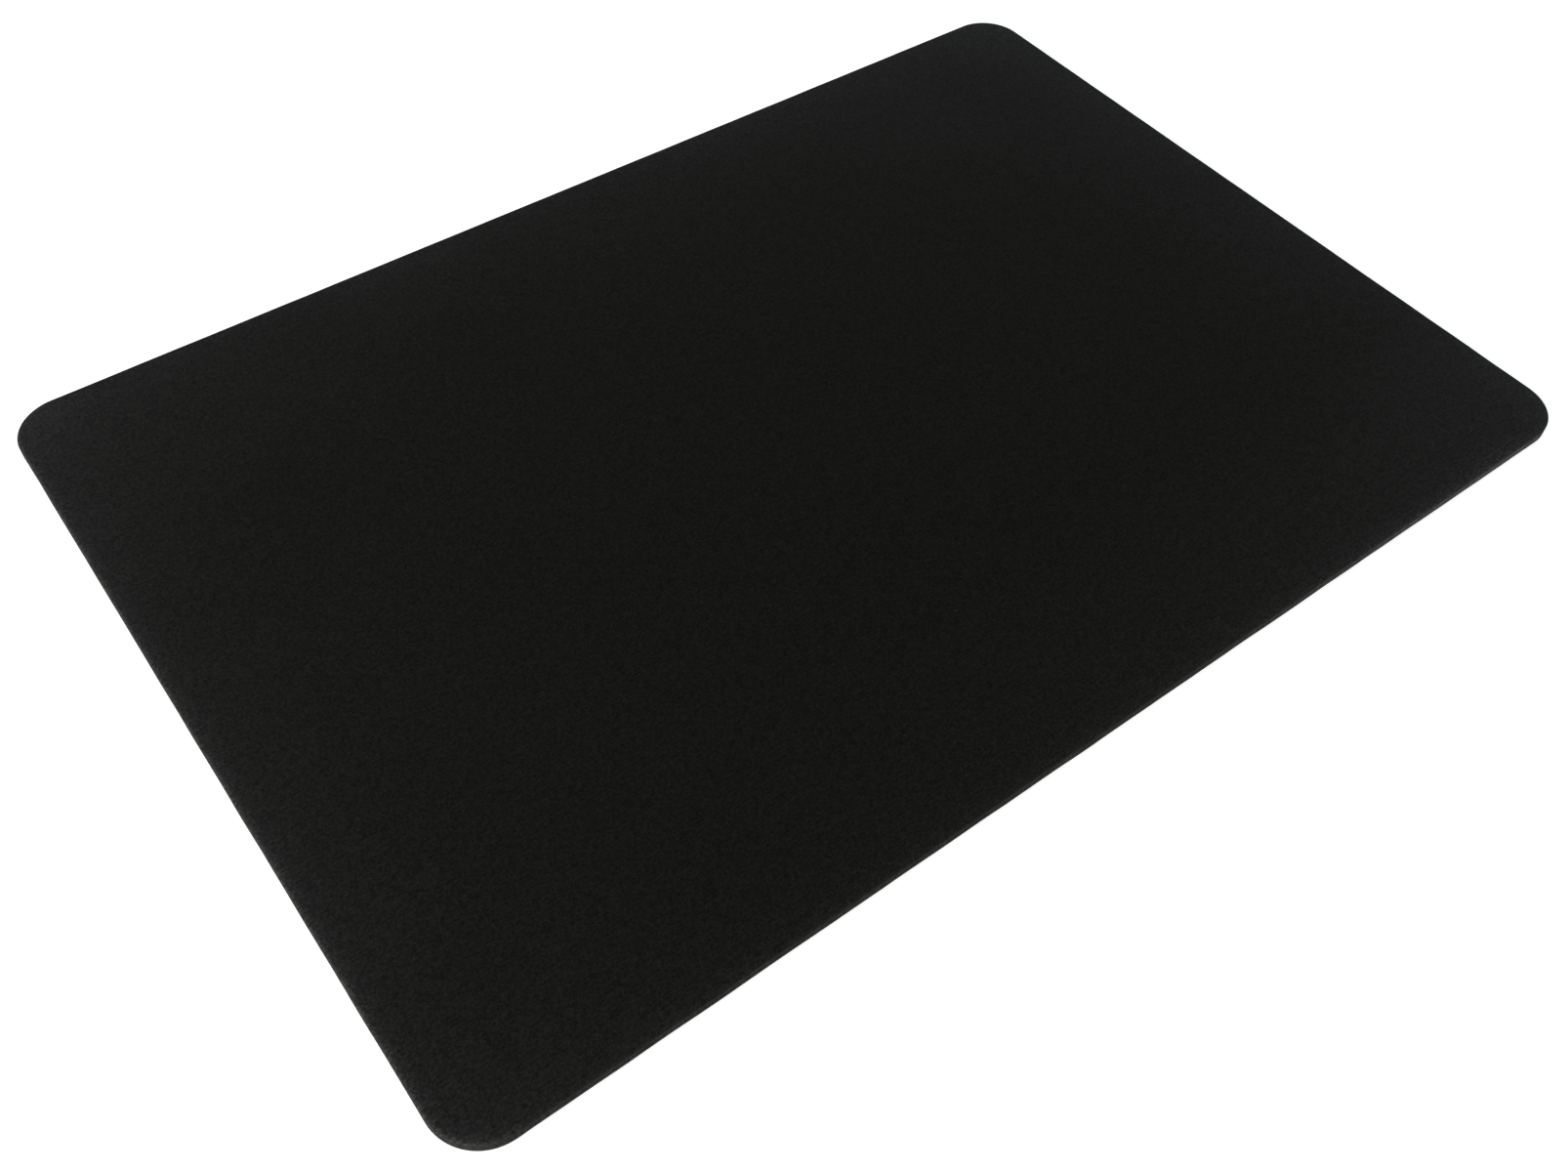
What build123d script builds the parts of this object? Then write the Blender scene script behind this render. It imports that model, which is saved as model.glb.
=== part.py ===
from build123d import *
import os

# A self-healing cutting mat for leatherwork: five PVC plies, fused face to face and die-cut to
# one rounded rectangle. It lies flat and has no fastener, hinge or other moving piece.
#
# Frame: millimetres, +Z up. The origin is the centre of the underside, which lies on Z = 0.
# X runs along the two long sides and Y along the two short ones.

# The die-cut outline
MAT_LENGTH = 300.0
MAT_WIDTH = 210.0
CORNER_RADIUS = 11.4

# The plies. The soft outer sheets close up after a cut, the firm backers stop the blade's tip,
# and the middle sheet keeps the mat flat.
HEALING_THICKNESS = 1.0
BACKER_THICKNESS = 0.3
CORE_THICKNESS = 0.4

# The cut edge. The die goes in from the working face, so it rolls that rim over and leaves the
# rim of the underside nearly sharp. The firm plies spring back behind the soft ones, which leaves
# a fine line along the wall.
ROLLED_RIM_RADIUS = 0.8
UNDER_RIM_RADIUS = 0.1
FIRM_SETBACK = 0.08


def sheet(thickness, bottom, setback=0.0):
    """One ply of the mat, lying on the plane Z = bottom, its outline drawn in by setback."""
    outline = RectangleRounded(
        MAT_LENGTH - 2 * setback,
        MAT_WIDTH - 2 * setback,
        CORNER_RADIUS - setback,
    )
    return Pos(0, 0, bottom) * extrude(outline, amount=thickness)


def healing_sheet(bottom, outer_face, rim_radius):
    """A soft outer ply, rounded over along the rim of its lowest or highest face."""
    ply = sheet(HEALING_THICKNESS, bottom)
    rim = ply.faces().sort_by(Axis.Z)[outer_face].edges()
    return fillet(rim, rim_radius)


def mat():
    """The five plies by name, stacked from the underside to the working face."""
    lowest_face, highest_face = 0, -1
    lower_backer_bottom = HEALING_THICKNESS
    core_bottom = lower_backer_bottom + BACKER_THICKNESS
    upper_backer_bottom = core_bottom + CORE_THICKNESS
    top_sheet_bottom = upper_backer_bottom + BACKER_THICKNESS
    return {
        "bottom_healing_sheet": healing_sheet(0.0, lowest_face, UNDER_RIM_RADIUS),
        "lower_backer_sheet": sheet(BACKER_THICKNESS, lower_backer_bottom, FIRM_SETBACK),
        "core_sheet": sheet(CORE_THICKNESS, core_bottom, FIRM_SETBACK),
        "upper_backer_sheet": sheet(BACKER_THICKNESS, upper_backer_bottom, FIRM_SETBACK),
        "top_healing_sheet": healing_sheet(top_sheet_bottom, highest_face, ROLLED_RIM_RADIUS),
    }


os.makedirs("parts", exist_ok=True)
for node, ply in mat().items():
    ply.label = node
    export_step(ply, f"parts/{node}.step")
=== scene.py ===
import functools
import math

import bmesh
import bpy
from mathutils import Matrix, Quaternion, Vector, noise


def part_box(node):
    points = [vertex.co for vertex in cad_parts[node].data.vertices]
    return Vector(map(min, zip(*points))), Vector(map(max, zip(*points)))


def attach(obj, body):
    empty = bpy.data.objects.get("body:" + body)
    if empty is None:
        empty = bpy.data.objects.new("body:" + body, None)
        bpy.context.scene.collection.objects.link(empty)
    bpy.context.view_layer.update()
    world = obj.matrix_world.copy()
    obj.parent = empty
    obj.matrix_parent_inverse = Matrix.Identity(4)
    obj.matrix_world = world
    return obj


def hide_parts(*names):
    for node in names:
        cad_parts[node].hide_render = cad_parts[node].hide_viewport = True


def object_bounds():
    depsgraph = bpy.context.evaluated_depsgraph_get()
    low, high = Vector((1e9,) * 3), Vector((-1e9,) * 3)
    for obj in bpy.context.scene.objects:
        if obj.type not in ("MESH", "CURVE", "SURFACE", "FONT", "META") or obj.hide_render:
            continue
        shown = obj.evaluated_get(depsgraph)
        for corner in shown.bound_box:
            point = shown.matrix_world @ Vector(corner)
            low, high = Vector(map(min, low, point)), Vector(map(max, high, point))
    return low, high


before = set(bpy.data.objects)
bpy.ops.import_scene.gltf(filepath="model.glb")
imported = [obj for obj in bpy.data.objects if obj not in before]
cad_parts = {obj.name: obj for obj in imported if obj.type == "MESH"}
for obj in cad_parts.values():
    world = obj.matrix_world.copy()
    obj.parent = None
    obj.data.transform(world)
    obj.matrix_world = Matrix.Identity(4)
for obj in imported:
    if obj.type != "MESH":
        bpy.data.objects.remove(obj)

# The looks of a self-healing mat: five PVC plies in one die-cut laminate, each built as a clean
# mesh with its own cut wall, and finished with procedural materials. Everything is in metres, in
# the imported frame: X along the long sides, Y along the short ones, the underside on Z = 0.
# A name that ends in _MM is in millimetres, which the materials and the camera's lens work in.

MM = 0.001
BODY = "root"

cad_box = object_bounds()
HALF_X, HALF_Y, _ = cad_box[1]

# The cut edge. The die rolls the working face's rim over and leaves the underside's nearly sharp.
CORNER_RADIUS = 11.4 * MM
ROLL_WIDTH = 1.0 * MM
ROLL_DEPTH = 0.6 * MM
UNDER_EASE = 0.1 * MM
PLY_LINE_EASE = 0.05 * MM      # where one ply's wall meets the next one's
CUT_WANDER = 0.16 * MM         # how far the cut strays inwards, in all the plies together
CUT_WANDER_LENGTH = 9.0 * MM
PLY_WANDER = 0.03 * MM         # and in each ply by itself
PLY_WANDER_LENGTH = 3.0 * MM
STRAY_REACH = 1.0 * MM         # how far in from the wall these strays have ended
CUT_SEED = 0.5                 # each ply's own seed is given where it is built
FACE_SWELL = 0.03 * MM         # how far the working face rises and falls
FACE_SWELL_LENGTH = 28.0 * MM
FRACTAL_REACH = 1.2            # the swell's noise lies between this and its negative

# Mesh spacing
OUTER_STEP = 1.5 * MM
INNER_STEP = 3.0 * MM
CORNER_SEGMENTS = 20
ROLL_SEGMENTS = 10
EASE_SEGMENTS = 3
WALL_SEGMENTS = 3
FACE_RINGS = (0.0, 0.25, 0.5, 0.7, 0.85)    # at these shares of the corner radius
HIDDEN_RING = 0.6                           # the same, on a face that the next ply covers
MERGE_DISTANCE = 0.001 * MM
SHARP_ANGLE = math.radians(35)

# The moulded surface: fine ribs along the mat, a little askew of it, under a pebbled grain
RIB_PITCH_MM = 0.91
RIB_SKEW = math.radians(1.0)
RIB_WAVER_MM = 0.08
RIB_WAVER_LENGTH_MM = 5.0
RIB_HEIGHT_MM = 0.012
RIB_CONTRAST = 0.05
PEBBLE_MM = 0.8
PEBBLE_HEIGHT_MM = 0.03
PEBBLE_CONTRAST = 0.2
GRAIN_MM = 0.35
GRAIN_HEIGHT_MM = 0.02
GRAIN_CONTRAST = 0.37
FACE_ROUGHNESS = (0.84, 0.94)
FACE_ROUGHNESS_PATCH_MM = 3.0

# The fine lines that the blade draws down the cut wall, and its torn patches
DRAW_LINE_MM = 0.5
DRAW_LINE_STRETCH = (1, 1, 0.12)
DRAW_LINE_HEIGHT_MM = 0.03
DRAW_LINE_CONTRAST = 0.35
TORN_PATCH_MM = 7.0
TORN_SHARE = 0.35
TORN_DARKENING = 0.6
WALL_ROUGHNESS = (0.8, 0.95)

# A noise value lies mostly in the wide range; a span over the narrow one has more contrast
WIDE_NOISE = (0.3, 0.7)
NARROW_NOISE = (0.35, 0.65)

# Dust specks, one to about every thirty squares of this side
SPECK_SPACING_MM = 8.0
SPECK_RADIUS_MM = 0.22
SPECK_CHOICE = (0.88, 0.92)
SPECK_SHARE = 0.6

# One old cut that has closed up, an arc near the right-hand end of the front edge
OLD_CUT_CENTRE_MM = Vector((124.8, -67.5, 0.0))
OLD_CUT_RADIUS_MM = 35.0
OLD_CUT_X_MM = (120.5, 133.5)
OLD_CUT_FADE_MM = (1.5, 2.5)
OLD_CUT_Y_MM = (-90.0, -95.0)
OLD_CUT_WIDTH_MM = 0.25
OLD_CUT_SHARE = 0.45

# Painted light on the face, painted glare towards the ends and the rim and painted sheen towards the
# back and the right of the front: how strong it is where it is most, and over how many millimetres
# it fades.
# A pair is a change from one place to another.
END_PAINTED_GLARE = (0.38, 0.3)         # from the left end to the right one
END_PAINTED_GLARE_MM = 37.0
BACK_PAINTED_SHEEN = (0.28, 0.38)       # from the left back corner to where the next pair ends
BACK_PAINTED_SHEEN_X_MM = (-150.0, -60.0)
BACK_PAINTED_SHEEN_MM = 42.0
RIM_PAINTED_GLARE = 0.24
RIM_PAINTED_GLARE_MM = 6.0
FRONT_PAINTED_SHEEN = 0.19
FRONT_PAINTED_SHEEN_X_MM = (-100.0, 120.0)
FRONT_PAINTED_SHEEN_Y_MM = (-50.0, -92.0)
PAINTED_LIGHT_CLOUDS = (0.88, 1.12)
PAINTED_LIGHT_CLOUD_MM = 45.0

# Wear and painted light on the face and the wall, given in the same way
# Paler corners: wear at all of them, and painted glare that makes the left back corner the palest
CORNER_WEAR_AND_GLARE = (0.15, 0.6)      # the most is at the left back corner
CORNER_GLARE_Y_LESS_X_MM = (150.0, 240.0)
CORNER_WEAR_AND_GLARE_MM = 9.0
# Paler rim: a little wear all round, and a painted highlight where the rim at the left end faces the
# key light
LEFT_END_PAINTED_HIGHLIGHT = (0.08, 0.55)
LEFT_END_HIGHLIGHT_X_MM = (-130.0, -148.0)
RIM_WEAR_AND_HIGHLIGHT_MM = 1.2
RIM_PATCHES = (0.2, 1.8)
RIM_PATCH_MM = 0.5
# A painted highlight along the right half of the front edge, on its rim and its wall
FRONT_HIGHLIGHT_ON_RIM = 0.4
FRONT_HIGHLIGHT_ON_WALL = 1.3
FRONT_HIGHLIGHT_X_MM = (10.0, 135.0)
FRONT_HIGHLIGHT_Y_MM = (-85.0, -100.0)

# Colours, linear: a hue, and the grey value that it is multiplied by
OLIVE = (1.0, 0.96, 0.82)
NEUTRAL = (1.0, 1.0, 0.98)
BARE_FACE = 0.0081
# The paler grey that the painted glare and sheen on the face are mixed towards
PAINTED_LIGHT_FACE = 0.0228
# The paler grey for worn corners and rim, and for their painted glare and highlights
WORN_AND_HIGHLIT_FACE = 0.045
PALE_MARK = 0.047
TOP_WALL = 0.018
BOTTOM_WALL = 0.032
BACKER_WALL = 0.029
CORE_WALL = 0.025
PVC_SPECULAR = 0.03

# The stage
FLOOR_RADIUS = 3.2
SWEEP_RADIUS = 0.8
WALL_HEIGHT = 1.3
FLOOR_SEGMENTS = 96
SWEEP_SEGMENTS = 12
FLOOR_WHITE = 0.6
FLOOR_GLOW = 0.76
ROOM_LIGHT = 0.15

# The camera, by where it stands about the mat, in degrees and metres
LENS_MM = 35.55
SENSOR_MM = 36.0
CAMERA_AZIMUTH = -39.551
CAMERA_ELEVATION = 51.248
CAMERA_ROLL = 3.058
CAMERA_DISTANCE = 0.33365
AIM = Vector((-0.02777, -0.03951, 0.0))
CAMERA_SHIFT_X = -0.01782
CLIP_START = 0.01


# ---------------------------------------------------------------- mesh building

def outline_path(step):
    """The corner arcs' centres and the lines between them, once round: points with the way out."""
    core_x, core_y = HALF_X - CORNER_RADIUS, HALF_Y - CORNER_RADIUS
    corners = [(core_x, -core_y), (core_x, core_y), (-core_x, core_y), (-core_x, -core_y)]
    path = []
    for i, (x, y) in enumerate(corners):
        start_angle = (i - 1) * math.pi / 2
        for s in range(CORNER_SEGMENTS):
            angle = start_angle + s / CORNER_SEGMENTS * math.pi / 2
            path.append((Vector((x, y)), Vector((math.cos(angle), math.sin(angle)))))
        next_x, next_y = corners[(i + 1) % 4]
        out = Vector((math.cos(start_angle + math.pi / 2), math.sin(start_angle + math.pi / 2)))
        run = Vector((next_x - x, next_y - y))
        count = round(run.length / step)
        path += [(Vector((x, y)) + run * (k / count), out) for k in range(count)]
    return path


def soft_section(outer_z, inner_z, rim_width, rim_depth, rim_segments):
    """A soft ply's section: out over its outer face, round the rim, down the wall and back in.

    A point is its reach from the corner arcs' centres, its height, and whether it is on the wall.
    """
    way = 1 if outer_z > inner_z else -1
    points = [(CORNER_RADIUS * share, outer_z, False) for share in FACE_RINGS]
    for s in range(rim_segments + 1):
        turn = s / rim_segments * math.pi / 2
        reach = CORNER_RADIUS - rim_width * (1 - math.sin(turn))
        points.append((reach, outer_z - way * rim_depth * (1 - math.cos(turn)), False))
    wall_start = outer_z - way * rim_depth
    wall_run = inner_z + way * PLY_LINE_EASE - wall_start
    for s in range(1, WALL_SEGMENTS + 1):
        points.append((CORNER_RADIUS, wall_start + wall_run * s / WALL_SEGMENTS, True))
    points.append((CORNER_RADIUS - PLY_LINE_EASE, inner_z, True))
    points += [(CORNER_RADIUS * share, inner_z, False) for share in (HIDDEN_RING, 0.0)]
    return points


def firm_section(high_z, low_z):
    """A firm ply's section: its wall bows out by a hair between the two soft ones."""
    middle = (high_z + low_z) / 2
    return [
        (0.0, high_z, False),
        (CORNER_RADIUS * HIDDEN_RING, high_z, False),
        (CORNER_RADIUS - PLY_LINE_EASE / 2, high_z, False),
        (CORNER_RADIUS, middle, True),
        (CORNER_RADIUS - PLY_LINE_EASE / 2, low_z, True),
        (CORNER_RADIUS * HIDDEN_RING, low_z, False),
        (0.0, low_z, False),
    ]


def stray(point, amount, length, seed):
    """How far inwards the cut strays at a place on the outline, from 0 to amount."""
    value = noise.noise(Vector((point.x, point.y, 0.0)) / length + Vector((0.0, 0.0, seed)))
    return amount * (1.0 - value) / 2


def swell(x, y, seed):
    """How far the working face dips at a place on it."""
    place = Vector((x, y, 0.0)) / FACE_SWELL_LENGTH + Vector((0.0, 0.0, seed))
    value = noise.fractal(place, 0.6, 2.0, 3)
    return FACE_SWELL * (FRACTAL_REACH - value) / 2


def fill_core(bm, step, z, up):
    """The flat rectangle inside the corner arcs, as a grid that meets the swept rim."""
    core_x, core_y = HALF_X - CORNER_RADIUS, HALF_Y - CORNER_RADIUS
    columns, rows = round(2 * core_x / step), round(2 * core_y / step)
    grid = [
        [bm.verts.new((-core_x + 2 * core_x * i / columns, -core_y + 2 * core_y * j / rows, z))
         for j in range(rows + 1)]
        for i in range(columns + 1)
    ]
    for i in range(columns):
        for j in range(rows):
            ring = [grid[i][j], grid[i + 1][j], grid[i + 1][j + 1], grid[i][j + 1]]
            bm.faces.new(ring if up else ring[::-1])


def sweep_rim(bm, section, step, setback, seed):
    """The section swept once round the outline, straying as the cut does near its wall."""
    rings = []
    for centre, out in outline_path(step):
        edge_point = centre + out * CORNER_RADIUS
        inwards = stray(edge_point, CUT_WANDER, CUT_WANDER_LENGTH, CUT_SEED)
        inwards += stray(edge_point, PLY_WANDER, PLY_WANDER_LENGTH, seed) + setback
        ring = []
        for reach, z, _ in section:
            share = max(0.0, (reach - CORNER_RADIUS + STRAY_REACH) / STRAY_REACH)
            place = centre + out * (reach - inwards * share)
            ring.append(bm.verts.new((place.x, place.y, z)))
        rings.append(ring)
    for ring, following in zip(rings, rings[1:] + rings[:1]):
        for j, (_, _, on_wall) in enumerate(section[1:]):
            face = bm.faces.new([ring[j], ring[j + 1], following[j + 1], following[j]])
            face.material_index = 1 if on_wall else 0


def build_ply(name, section, step, seed, setback=0.0, swells=False):
    """One ply: its swept rim, closed by a grid on each face. Only the working face swells."""
    bm = bmesh.new()
    first_z, last_z = section[0][1], section[-1][1]
    sweep_rim(bm, section, step, setback, seed)
    fill_core(bm, step, first_z, first_z > last_z)
    fill_core(bm, step, last_z, last_z > first_z)
    bmesh.ops.remove_doubles(bm, verts=bm.verts, dist=MERGE_DISTANCE)
    bmesh.ops.recalc_face_normals(bm, faces=bm.faces)
    if swells:
        for v in bm.verts:
            share = max(0.0, 1.0 - (first_z - v.co.z) / ROLL_DEPTH)
            v.co.z -= share * swell(v.co.x, v.co.y, seed)
    mesh = bpy.data.meshes.new(name)
    bm.to_mesh(mesh)
    bm.free()
    mesh.shade_smooth()
    mesh.set_sharp_from_angle(angle=SHARP_ANGLE)
    piece = bpy.data.objects.new(name, mesh)
    bpy.context.scene.collection.objects.link(piece)
    return piece


# ---------------------------------------------------------------- material nodes

class Nodes:
    """Adds nodes to one material and links them. A value is a number or another node's output."""

    def __init__(self, name):
        self.material = bpy.data.materials.new(name)
        self.material.use_nodes = True
        self.tree = self.material.node_tree
        self.shader = self.tree.nodes["Principled BSDF"]
        place = self.tree.nodes.new("ShaderNodeTexCoord").outputs["Object"]
        self.place = self.vector("MULTIPLY", place, (1 / MM, 1 / MM, 1 / MM))
        parts = self.tree.nodes.new("ShaderNodeSeparateXYZ")
        self.link(self.place, parts.inputs[0])
        self.x, self.y = parts.outputs["X"], parts.outputs["Y"]

    def link(self, value, socket):
        if isinstance(value, bpy.types.NodeSocket):
            self.tree.links.new(value, socket)
        else:
            socket.default_value = value

    def math(self, operation, *values):
        node = self.tree.nodes.new("ShaderNodeMath")
        node.operation = operation
        for value, socket in zip(values, node.inputs):
            self.link(value, socket)
        return node.outputs[0]

    def times(self, *values):
        return functools.reduce(lambda a, b: self.math("MULTIPLY", a, b), values)

    def total(self, *values):
        return functools.reduce(lambda a, b: self.math("ADD", a, b), values)

    def vector(self, operation, *values):
        node = self.tree.nodes.new("ShaderNodeVectorMath")
        node.operation = operation
        sockets = [socket for socket in node.inputs if socket.enabled]
        for value, socket in zip(values, sockets):
            self.link(value, socket)
        return node.outputs["Value" if operation in ("LENGTH", "DOT_PRODUCT") else "Vector"]

    def noise(self, size_mm, detail=2.0, stretch=(1, 1, 1)):
        node = self.tree.nodes.new("ShaderNodeTexNoise")
        node.inputs["Scale"].default_value = 1 / size_mm
        node.inputs["Detail"].default_value = detail
        self.link(self.vector("MULTIPLY", self.place, stretch), node.inputs["Vector"])
        return node.outputs["Fac"]

    def span(self, value, low, high, to_low=0.0, to_high=1.0):
        """A smooth step: to_low where the value is low, to_high where it is high."""
        node = self.tree.nodes.new("ShaderNodeMapRange")
        node.interpolation_type = "SMOOTHSTEP"
        self.link(value, node.inputs["Value"])
        for socket, number in zip(("From Min", "From Max", "To Min", "To Max"),
                                  (low, high, to_low, to_high)):
            node.inputs[socket].default_value = number
        return node.outputs["Result"]

    def shaded(self, tone, value, low, high, contrast):
        """The tone made darker where the value is low and lighter where it is high."""
        return self.vector("MULTIPLY", tone, self.span(value, low, high, 1 - contrast, 1 + contrast))

    def mix(self, share, a, b):
        node = self.tree.nodes.new("ShaderNodeMix")
        node.data_type = "RGBA"
        self.link(share, node.inputs["Factor"])
        self.link(a, node.inputs["A"])
        self.link(b, node.inputs["B"])
        return node.outputs["Result"]

    def bump(self, height, depth_mm, strength, under=None):
        node = self.tree.nodes.new("ShaderNodeBump")
        node.inputs["Strength"].default_value = strength
        node.inputs["Distance"].default_value = depth_mm * MM
        self.link(height, node.inputs["Height"])
        if under is not None:
            self.link(under, node.inputs["Normal"])
        return node.outputs["Normal"]

    def fade(self, distance, length_mm):
        """1 at no distance, falling away over about length_mm."""
        return self.math("EXPONENT", self.math("DIVIDE", distance, -length_mm))

    def from_edge(self):
        """Distance in from the mat's outline, on any of its faces."""
        core = ((HALF_X - CORNER_RADIUS) / MM, (HALF_Y - CORNER_RADIUS) / MM)
        x = self.math("SUBTRACT", self.math("ABSOLUTE", self.x), core[0])
        y = self.math("SUBTRACT", self.math("ABSOLUTE", self.y), core[1])
        outside_x, outside_y = self.math("MAXIMUM", x, 0.0), self.math("MAXIMUM", y, 0.0)
        squares = self.total(self.math("POWER", outside_x, 2.0), self.math("POWER", outside_y, 2.0))
        inside = self.math("MINIMUM", self.math("MAXIMUM", x, y), 0.0)
        beyond_core = self.math("ADD", self.math("SQRT", squares), inside)
        return self.math("SUBTRACT", CORNER_RADIUS / MM, beyond_core)

    def distance_from(self, point_mm, place=None):
        """Distance over the face from a point."""
        flat = self.vector("MULTIPLY", place or self.place, (1, 1, 0))
        return self.vector("LENGTH", self.vector("SUBTRACT", flat, point_mm))

    def from_corner(self):
        """Distance over the face from where the nearest corner would be if it were square."""
        corner = Vector((HALF_X, HALF_Y, 0.0)) / MM
        return self.distance_from(corner, self.vector("ABSOLUTE", self.place))

    def painted_front_highlight(self):
        """0 to 1 along the right half of the front edge, where a highlight is painted on its rim and
        wall.
        """
        return self.times(self.span(self.x, *FRONT_HIGHLIGHT_X_MM), self.span(self.y, *FRONT_HIGHLIGHT_Y_MM))

    def ribs(self):
        """The ribs' height from 0 to 1. They run along X, a little askew, and waver slightly."""
        across_ribs = (-math.sin(RIB_SKEW), math.cos(RIB_SKEW), 0)
        across = self.vector("DOT_PRODUCT", self.place, across_ribs)
        waver = self.noise(RIB_WAVER_LENGTH_MM)
        waver = self.span(waver, *WIDE_NOISE, -RIB_WAVER_MM, RIB_WAVER_MM)
        across = self.math("ADD", across, waver)
        wave = self.math("SINE", self.times(across, 2 * math.pi / RIB_PITCH_MM))
        return self.math("ADD", self.times(wave, 0.5), 0.5)

    def specks(self):
        """1 on a scatter of dust specks, 0 between them."""
        node = self.tree.nodes.new("ShaderNodeTexVoronoi")
        node.voronoi_dimensions = "2D"
        node.inputs["Scale"].default_value = 1 / SPECK_SPACING_MM
        self.link(self.place, node.inputs["Vector"])
        distance = self.times(node.outputs["Distance"], SPECK_SPACING_MM)
        chosen = self.span(node.outputs["Color"], *SPECK_CHOICE)
        return self.times(chosen, self.span(distance, SPECK_RADIUS_MM, SPECK_RADIUS_MM / 3))

    def old_cut(self):
        """1 along the closed cut, 0 away from it."""
        off_arc = self.math("SUBTRACT", self.distance_from(OLD_CUT_CENTRE_MM), OLD_CUT_RADIUS_MM)
        line = self.span(self.math("ABSOLUTE", off_arc), OLD_CUT_WIDTH_MM, 0.0)
        start, end = OLD_CUT_X_MM
        fade_in, fade_out = OLD_CUT_FADE_MM
        begun = self.span(self.x, start, start + fade_in)
        not_done = self.span(self.x, end, end - fade_out)
        return self.times(line, begun, not_done, self.span(self.y, *OLD_CUT_Y_MM))


def tint(value, hue=NEUTRAL):
    return (value * hue[0], value * hue[1], value * hue[2], 1.0)


# ---------------------------------------------------------------- materials

def face_painted_light(n, edge):
    """How much painted light the face has: painted glare at the ends and the rim, painted sheen at
    the back and the right of the front.
    """
    from_ends = n.math("SUBTRACT", HALF_X / MM, n.math("ABSOLUTE", n.x))
    from_back = n.math("SUBTRACT", HALF_Y / MM, n.y)
    end_share = n.span(n.x, -HALF_X / MM, HALF_X / MM, *END_PAINTED_GLARE)
    back_share = n.span(n.x, *BACK_PAINTED_SHEEN_X_MM, *BACK_PAINTED_SHEEN)
    at_ends = n.times(n.fade(from_ends, END_PAINTED_GLARE_MM), end_share)
    at_back = n.times(n.fade(from_back, BACK_PAINTED_SHEEN_MM), back_share)
    clouds = n.span(n.noise(PAINTED_LIGHT_CLOUD_MM, detail=1.0), *WIDE_NOISE, *PAINTED_LIGHT_CLOUDS)
    at_rim = n.times(n.fade(edge, RIM_PAINTED_GLARE_MM), RIM_PAINTED_GLARE)
    at_front = n.times(n.span(n.x, *FRONT_PAINTED_SHEEN_X_MM), n.span(n.y, *FRONT_PAINTED_SHEEN_Y_MM), FRONT_PAINTED_SHEEN)
    return n.total(n.times(n.total(at_ends, at_back), clouds), at_rim, at_front)


def face_wear_and_highlight(n, edge):
    """How pale the face is made at its corners and along its rim: wear, with painted glare at the
    left back corner and painted highlights along the rim at the left end and the right half of the
    front.
    """
    corner_share = n.span(n.math("SUBTRACT", n.y, n.x), *CORNER_GLARE_Y_LESS_X_MM, *CORNER_WEAR_AND_GLARE)
    at_corners = n.times(corner_share, n.fade(n.from_corner(), CORNER_WEAR_AND_GLARE_MM))
    # Painted highlight along the rim at the left end and the right half of the front edge, over a
    # little wear
    left_end = n.span(n.x, *LEFT_END_HIGHLIGHT_X_MM, *LEFT_END_PAINTED_HIGHLIGHT)
    rim_wear_and_highlight = n.total(left_end, n.times(n.painted_front_highlight(), FRONT_HIGHLIGHT_ON_RIM))
    patches = n.span(n.noise(RIM_PATCH_MM, detail=4.0), *NARROW_NOISE, *RIM_PATCHES)
    return n.math("MAXIMUM", at_corners, n.times(rim_wear_and_highlight, n.fade(edge, RIM_WEAR_AND_HIGHLIGHT_MM), patches))


def soft_face_material():
    """The moulded face: matte black PVC, finely ribbed and pebbled and a little worn, with painted
    glare, sheen and highlights.
    """
    n = Nodes("healing_face")
    edge = n.from_edge()
    pebble = n.noise(PEBBLE_MM, detail=4.0)
    grain = n.noise(GRAIN_MM, detail=3.0)
    ribs = n.ribs()

    # Painted light: the face is made paler towards its ends, back and rim, for glare and sheen
    tone = n.mix(face_painted_light(n, edge), tint(BARE_FACE, OLIVE), tint(PAINTED_LIGHT_FACE))
    # Wear, with painted glare at the left back corner and painted highlights along the rim
    tone = n.mix(face_wear_and_highlight(n, edge), tone, tint(WORN_AND_HIGHLIT_FACE))
    tone = n.mix(n.times(n.old_cut(), OLD_CUT_SHARE), tone, tint(PALE_MARK))
    tone = n.mix(n.times(n.specks(), SPECK_SHARE), tone, tint(PALE_MARK))
    tone = n.shaded(tone, pebble, *WIDE_NOISE, PEBBLE_CONTRAST)
    tone = n.shaded(tone, grain, *WIDE_NOISE, GRAIN_CONTRAST)
    tone = n.shaded(tone, ribs, 0.0, 1.0, RIB_CONTRAST)
    n.link(tone, n.shader.inputs["Base Color"])

    patches = n.noise(FACE_ROUGHNESS_PATCH_MM, detail=4.0)
    n.link(n.span(patches, *WIDE_NOISE, *FACE_ROUGHNESS), n.shader.inputs["Roughness"])
    n.shader.inputs["Specular IOR Level"].default_value = PVC_SPECULAR
    relief = n.bump(ribs, RIB_HEIGHT_MM, strength=0.6)
    relief = n.bump(pebble, PEBBLE_HEIGHT_MM, strength=0.5, under=relief)
    relief = n.bump(grain, GRAIN_HEIGHT_MM, strength=0.5, under=relief)
    n.link(relief, n.shader.inputs["Normal"])
    return n.material


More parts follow.
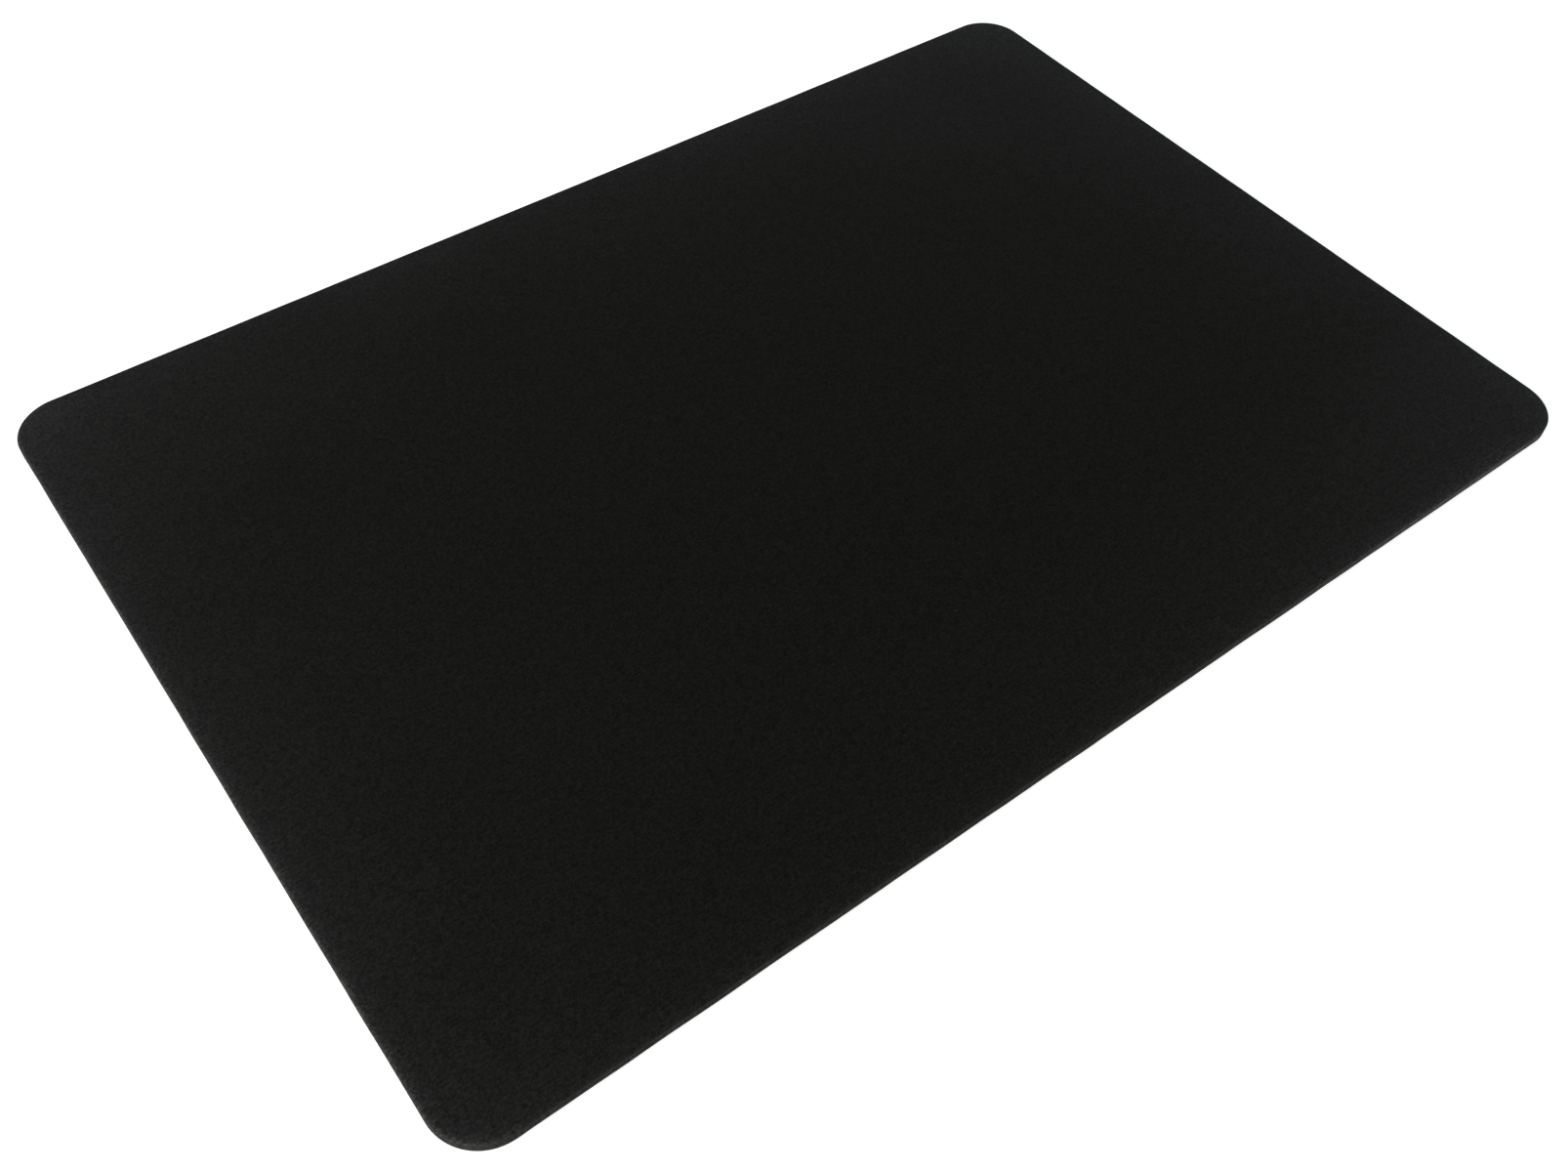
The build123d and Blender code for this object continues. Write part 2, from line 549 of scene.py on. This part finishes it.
def cut_wall_material(name, value):
    """A die-cut wall: fine lines that the blade drew, darker torn patches, and a painted highlight
    along the right half of the front edge.
    """
    n = Nodes(name)
    lines = n.noise(DRAW_LINE_MM, detail=3.0, stretch=DRAW_LINE_STRETCH)
    dark, pale = tint(value * (1 - DRAW_LINE_CONTRAST)), tint(value * (1 + DRAW_LINE_CONTRAST))
    torn = n.span(n.noise(TORN_PATCH_MM), *NARROW_NOISE, 0.0, TORN_SHARE)
    tone = n.mix(n.span(lines, *NARROW_NOISE), dark, pale)
    tone = n.mix(torn, tone, tint(value * TORN_DARKENING))
    # Painted highlight: the wall is made paler along the right half of the front edge
    tone = n.vector("SCALE", tone, n.total(n.times(n.painted_front_highlight(), FRONT_HIGHLIGHT_ON_WALL), 1.0))
    n.link(tone, n.shader.inputs["Base Color"])
    n.link(n.span(lines, *WIDE_NOISE, *WALL_ROUGHNESS), n.shader.inputs["Roughness"])
    n.shader.inputs["Specular IOR Level"].default_value = PVC_SPECULAR
    n.link(n.bump(lines, DRAW_LINE_HEIGHT_MM, strength=0.6), n.shader.inputs["Normal"])
    return n.material


def floor_material():
    """White and faintly lit from within, as a light table is, so that the mat's shadow is soft."""
    n = Nodes("pale_floor")
    n.shader.inputs["Base Color"].default_value = tint(FLOOR_WHITE)
    n.shader.inputs["Roughness"].default_value = 0.9
    n.shader.inputs["Specular IOR Level"].default_value = 0.0
    n.shader.inputs["Emission Color"].default_value = (1, 1, 1, 1)
    n.shader.inputs["Emission Strength"].default_value = FLOOR_GLOW
    return n.material


# ---------------------------------------------------------------- the mat

def finish_ply(piece, node, face, wall):
    """Gives a ply its materials, and fixes it to the mat's one body in its CAD node's place."""
    piece.data.materials.append(face)
    piece.data.materials.append(wall)
    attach(piece, BODY)
    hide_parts(node)


def build_soft_plies():
    face = soft_face_material()

    low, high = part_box("top_healing_sheet")
    section = soft_section(high.z, low.z, ROLL_WIDTH, ROLL_DEPTH, ROLL_SEGMENTS)
    top = build_ply("top_healing_sheet_finished", section, OUTER_STEP, seed=1.5, swells=True)
    wall = cut_wall_material("top_wall", TOP_WALL)
    finish_ply(top, "top_healing_sheet", face, wall)

    low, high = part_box("bottom_healing_sheet")
    section = soft_section(low.z, high.z, UNDER_EASE, UNDER_EASE, EASE_SEGMENTS)
    bottom = build_ply("bottom_healing_sheet_finished", section, OUTER_STEP, seed=2.5)
    wall = cut_wall_material("bottom_wall", BOTTOM_WALL)
    finish_ply(bottom, "bottom_healing_sheet", face, wall)


def build_firm_plies():
    backer_wall = cut_wall_material("backer_wall", BACKER_WALL)
    core_wall = cut_wall_material("core_wall", CORE_WALL)
    plies = (("upper_backer_sheet", "backer_pvc", backer_wall, 3.5),
             ("core_sheet", "core_pvc", core_wall, 4.5),
             ("lower_backer_sheet", "backer_pvc", backer_wall, 5.5))
    for node, slot, wall, seed in plies:
        low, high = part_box(node)
        section = firm_section(high.z, low.z)
        ply = build_ply(node + "_finished", section, INNER_STEP, seed, setback=HALF_X - high.x)
        finish_ply(ply, node, wall, wall)


# ---------------------------------------------------------------- stage, lights and camera

def build_floor():
    """A round pale floor that sweeps up into a wall, so that no horizon shows behind the mat."""
    profile = []
    for s in range(SWEEP_SEGMENTS + 1):
        turn = s / SWEEP_SEGMENTS * math.pi / 2
        rise = SWEEP_RADIUS * (1 - math.cos(turn))
        profile.append((FLOOR_RADIUS - SWEEP_RADIUS * (1 - math.sin(turn)), rise))
    profile.append((FLOOR_RADIUS, WALL_HEIGHT))
    bm = bmesh.new()
    rings = []
    angles = [2 * math.pi * i / FLOOR_SEGMENTS for i in range(FLOOR_SEGMENTS)]
    for radius, z in profile:
        ring = [(radius * math.cos(angle), radius * math.sin(angle), z) for angle in angles]
        rings.append([bm.verts.new(point) for point in ring])
    bm.faces.new(rings[0])
    for low, high in zip(rings, rings[1:]):
        for i in range(FLOOR_SEGMENTS):
            j = (i + 1) % FLOOR_SEGMENTS
            bm.faces.new([low[i], high[i], high[j], low[j]])
    mesh = bpy.data.meshes.new("floor")
    bm.to_mesh(mesh)
    bm.free()
    mesh.shade_smooth()
    mesh.materials.append(floor_material())
    floor = bpy.data.objects.new("floor", mesh)
    bpy.context.scene.collection.objects.link(floor)


def area_light(name, place, width, height, power, colour):
    """A soft light that faces the mat."""
    data = bpy.data.lights.new(name, "AREA")
    data.shape = "RECTANGLE"
    data.size, data.size_y = width, height
    data.energy = power
    data.color = colour
    light = bpy.data.objects.new(name, data)
    light.location = place
    light.rotation_mode = "QUATERNION"
    light.rotation_quaternion = (-Vector(place)).to_track_quat("-Z", "Y")
    bpy.context.scene.collection.objects.link(light)


def build_light():
    """An even white room, a low soft key at the left, and a weak cool fill behind the right side."""
    world = bpy.data.worlds.new("studio")
    bpy.context.scene.world = world
    world.use_nodes = True
    background = world.node_tree.nodes["Background"]
    background.inputs["Color"].default_value = (1, 1, 1, 1)
    background.inputs["Strength"].default_value = ROOM_LIGHT
    area_light("key", place=(-2.0, -0.1, 0.55), width=1.6, height=0.6,
               power=54.0, colour=(1.0, 0.99, 0.97))
    area_light("fill", place=(1.5, 0.6, 1.1), width=1.2, height=1.2,
               power=12.0, colour=(0.75, 1.0, 1.0))


def build_camera():
    """Stands the camera near the front left corner, looking down across the mat."""
    azimuth, elevation = math.radians(CAMERA_AZIMUTH), math.radians(CAMERA_ELEVATION)
    back = Vector((math.sin(azimuth) * math.cos(elevation),
                   -math.cos(azimuth) * math.cos(elevation),
                   math.sin(elevation)))
    data = bpy.data.cameras.new("camera")
    data.lens = LENS_MM
    data.sensor_width = SENSOR_MM
    data.shift_x = CAMERA_SHIFT_X
    data.clip_start = CLIP_START
    camera = bpy.data.objects.new("camera", data)
    camera.location = AIM + back * CAMERA_DISTANCE
    camera.rotation_mode = "QUATERNION"
    level = (-back).to_track_quat("-Z", "Y")
    camera.rotation_quaternion = level @ Quaternion((0, 0, 1), math.radians(CAMERA_ROLL))
    bpy.context.scene.collection.objects.link(camera)
    bpy.context.scene.camera = camera


build_camera()
build_soft_plies()
build_firm_plies()
build_floor()
build_light()
bpy.context.scene.view_settings.view_transform = "Standard"
